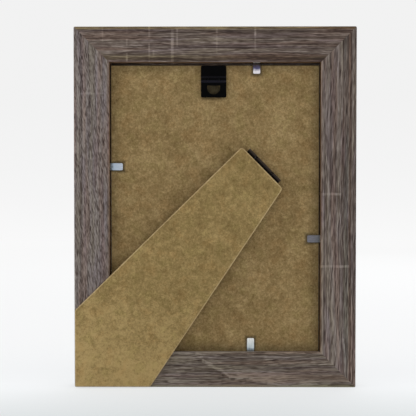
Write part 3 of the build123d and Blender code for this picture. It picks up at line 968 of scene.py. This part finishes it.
def build_tabs():
    """The four tabs, each with its own tones of zinc, which paint the shade at the bend and how brightly
    the strip reflects.
    """
    # Each tab's tones paint the shade at its bend by the rail and how brightly the strip reflects.
    ways = {
        "top": (
            Vector((0, 0, -1)),
            ((0.02, (44, 37, 32)), (0.16, (62, 53, 48)), (0.54, (92, 90, 122)), (0.78, (240, 234, 238))),
        ),
        "bottom": (
            Vector((0, 0, 1)),
            (
                (0.04, (118, 122, 124)), (0.16, (150, 160, 166)), (0.26, (198, 207, 209)),
                (0.92, (236, 236, 232)),
            ),
        ),
        "left": (
            Vector((-1, 0, 0)),
            (
                (0.0, (96, 104, 110)), (0.12, (112, 120, 128)), (0.26, (176, 190, 204)),
                (0.95, (194, 202, 214)),
            ),
        ),
        "right": (
            Vector((1, 0, 0)),
            ((0.0, (98, 99, 102)), (0.3, (110, 110, 114)), (0.6, (119, 118, 124))),
        ),
    }
    for side, (way, tones) in ways.items():
        low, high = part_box("tab_" + side)
        middle = (low + high) / 2
        half = Vector((high.x - low.x, 0, high.z - low.z)) / 2
        reach = abs(half.dot(way))
        root = middle - way * reach
        tip = middle + way * reach
        zinc = tab_zinc("zinc tab " + side, root, way, 2 * reach, tones)
        steel_tab("tab_" + side, side + "_tab_body", root, tip, zinc)


def build_back():
    # The backing board gets painted shade at its rim, round the tabs and the hanger, and in the hanger's
    # hole.
    board = hardboard("hardboard", srgb(137, 115, 76), srgb(171, 148, 105), srgb(101, 80, 47), shaded=True)
    # The strut's face is painted paler towards its foot: painted light from the floor.
    strut_face = hardboard(
        "strut hardboard", srgb(140, 119, 76), srgb(173, 149, 100), srgb(108, 88, 51), 1.1,
        ((5 * MM, 75 * MM, 0.3), (0.0, 12 * MM, 0.16)),
    )
    # The cut edges are paler fibre, and their pale tone also paints the highlight along the strut's rim.
    cut_edge = hardboard(
        "cut hardboard edge", srgb(170, 148, 107), srgb(194, 172, 130), srgb(134, 112, 76),
    )
    strut_board(strut_face, cut_edge)
    dress("backing_board", board)
    across_hinge = Vector((-math.cos(strut_slope), 0, math.sin(strut_slope)))
    # The hinge's paint gets the lit outer side of its barrel painted grey: a painted highlight.
    hinge_paint = black_steel(
        "black hinge paint", pivots["strut_fold"], across_hinge, ((2.2, 0.2, 2.4, (62, 54, 48)),),
    )
    for node in ("hinge_board_leaf", "hinge_strut_leaf"):
        dress(node, hinge_paint)
    # The hanger's paint gets two faint bluish lines along the top and bottom of its barrel: painted
    # highlights.
    hanger_paint = black_steel(
        "black hanger paint",
        pivots["hanger_flip"],
        Vector((0, 0, 1)),
        ((1.35, 0.45, 0.4, (24, 23, 27)), (-1.45, 0.45, 0.5, (31, 30, 37))),
    )
    rolled_hanger_plate(hanger_paint)
    rolled_hanger_flap(hanger_paint)
    steel = zinc_plate("plain steel", srgb(150, 150, 154), 0.4)
    for node in ("corner_nails", "hinge_pin", "hanger_pin"):
        dress(node, steel)
    dress("tab_roots", zinc_plate("zinc root", srgb(158, 158, 156), 0.45))
    build_tabs()
    dress("glass_pane", clear_glass("clear glass"))
    dress("photo_print", hills_print("print of hills"))


# Studio


def camera():
    data = bpy.data.cameras.new("camera")
    data.sensor_width = sensor
    data.lens = focus_px / image_px * sensor
    ahead = Vector((
        -math.sin(eye_yaw) * math.cos(eye_pitch),
        -math.cos(eye_yaw) * math.cos(eye_pitch),
        -math.sin(eye_pitch),
    ))
    shot = bpy.data.objects.new("camera", data)
    bpy.context.scene.collection.objects.link(shot)
    shot.location = eye
    shot.rotation_euler = ahead.to_track_quat("-Z", "Y").to_euler()
    bpy.context.scene.camera = shot


def soft_lamp(name, place, size, power):
    data = bpy.data.lights.new(name, "AREA")
    data.shape = "SQUARE"
    data.size = size
    data.energy = power
    lamp = bpy.data.objects.new(name, data)
    bpy.context.scene.collection.objects.link(lamp)
    lamp.location = place
    lamp.rotation_euler = (lamp_aim - place).to_track_quat("-Z", "Y").to_euler()
    lamp.visible_camera = False


def looked_at(tree):
    """1 for rays that look at a surface, straight or by a mirror or glass, 0 for those that light it."""
    path = tree.nodes.new("ShaderNodeLightPath")
    seen = path.outputs["Is Camera Ray"]
    for ray in ("Is Glossy Ray", "Is Transmission Ray"):
        either = tree.nodes.new("ShaderNodeMath")
        either.operation = "MAXIMUM"
        tree.links.new(seen, either.inputs[0])
        tree.links.new(path.outputs[ray], either.inputs[1])
        seen = either.outputs[0]
    return seen


def pale_floor():
    """A pale floor that keeps the frame's shadow and fades into the white background. Its glow that the
    camera sees paints a broad shadow in front of the frame and paints the floor brighter right at the
    frame's foot.
    """
    deselect()
    bpy.ops.mesh.primitive_plane_add(size=floor_size)
    floor = bpy.context.object
    floor.name = "floor"
    paint = Finish("floor paint")
    paint.set(Base_Color=(0.82, 0.835, 0.85, 1), Roughness=0.9, Specular_IOR_Level=0.1)
    closest = 0.1
    y = paint.axes(paint.place)[1]
    ahead = paint.math("MAXIMUM", paint.math("SUBTRACT", eye.y, y), closest)
    nearness = paint.math("DIVIDE", eye.z, ahead)
    # Painted shadow and light: the glow dips in a broad band in front of the frame and rises right at its
    # foot.
    pale = paint.ramp(
        nearness,
        (0.005, grey(0.905)),
        (0.03, grey(0.919)),
        (0.05, grey(0.938)),
        (0.064, grey(0.95)),
        (0.09, grey(0.975)),
        (0.141, grey(0.99)),
        (0.164, (0.98, 0.99, 1.0, 1)),
        (0.177, (1.0, 1.02, 1.03, 1)),
        (0.203, (0.75, 0.795, 0.805, 1)),
        (0.354, grey(0.93)),
    )
    glow = paint.add("ShaderNodeEmission")
    paint.feed(glow.inputs["Color"], pale)
    away = paint.add("ShaderNodeVectorMath", operation="LENGTH")
    paint.feed(away.inputs[0], paint.place)
    share = paint.fade(away.outputs["Value"], 0.1, 1.6, 0.6, 1.0)
    mixed = paint.add("ShaderNodeMixShader")
    paint.feed(mixed.inputs[0], paint.math("MULTIPLY", looked_at(paint.tree), share))
    paint.feed(mixed.inputs[1], paint.surface.outputs[0])
    paint.feed(mixed.inputs[2], glow.outputs[0])
    paint.feed(paint.tree.nodes["Material Output"].inputs["Surface"], mixed.outputs[0])
    floor.data.materials.append(paint.material)


def white_background():
    """A near-white sky to look at, and even light all round, a little weaker from the camera's side."""
    world = bpy.data.worlds.new("studio")
    bpy.context.scene.world = world
    world.use_nodes = True
    tree = world.node_tree
    place = tree.nodes.new("ShaderNodeTexCoord")
    axes = tree.nodes.new("ShaderNodeSeparateXYZ")
    tree.links.new(place.outputs["Generated"], axes.inputs[0])

    def tones(axis, *stops):
        """Greys that change along an axis of the sky."""
        ramp = tree.nodes.new("ShaderNodeValToRGB")
        tree.links.new(axes.outputs[axis], ramp.inputs[0])
        for element, (position, level) in zip(ramp.color_ramp.elements, stops):
            element.position = position
            element.color = grey(level)
        return ramp.outputs[0]

    mix = tree.nodes.new("ShaderNodeMix")
    mix.data_type = "RGBA"
    sockets = {socket.identifier: socket for socket in mix.inputs}
    tree.links.new(looked_at(tree), sockets["Factor_Float"])
    tree.links.new(tones("Y", (0.3, ambient), (0.8, 0.9 * ambient)), sockets["A_Color"])
    tree.links.new(tones("Z", (0.0, 0.903), (0.05, 0.886)), sockets["B_Color"])
    result = next(socket for socket in mix.outputs if socket.identifier == "Result_Color")
    tree.links.new(result, tree.nodes["Background"].inputs["Color"])


build_rails()
build_back()
camera()
pale_floor()
white_background()
for lamp_name, (lamp_place, lamp_size, lamp_power) in soft_lamps.items():
    soft_lamp(lamp_name, lamp_place, lamp_size, lamp_power)
bpy.context.scene.view_settings.view_transform = "Standard"
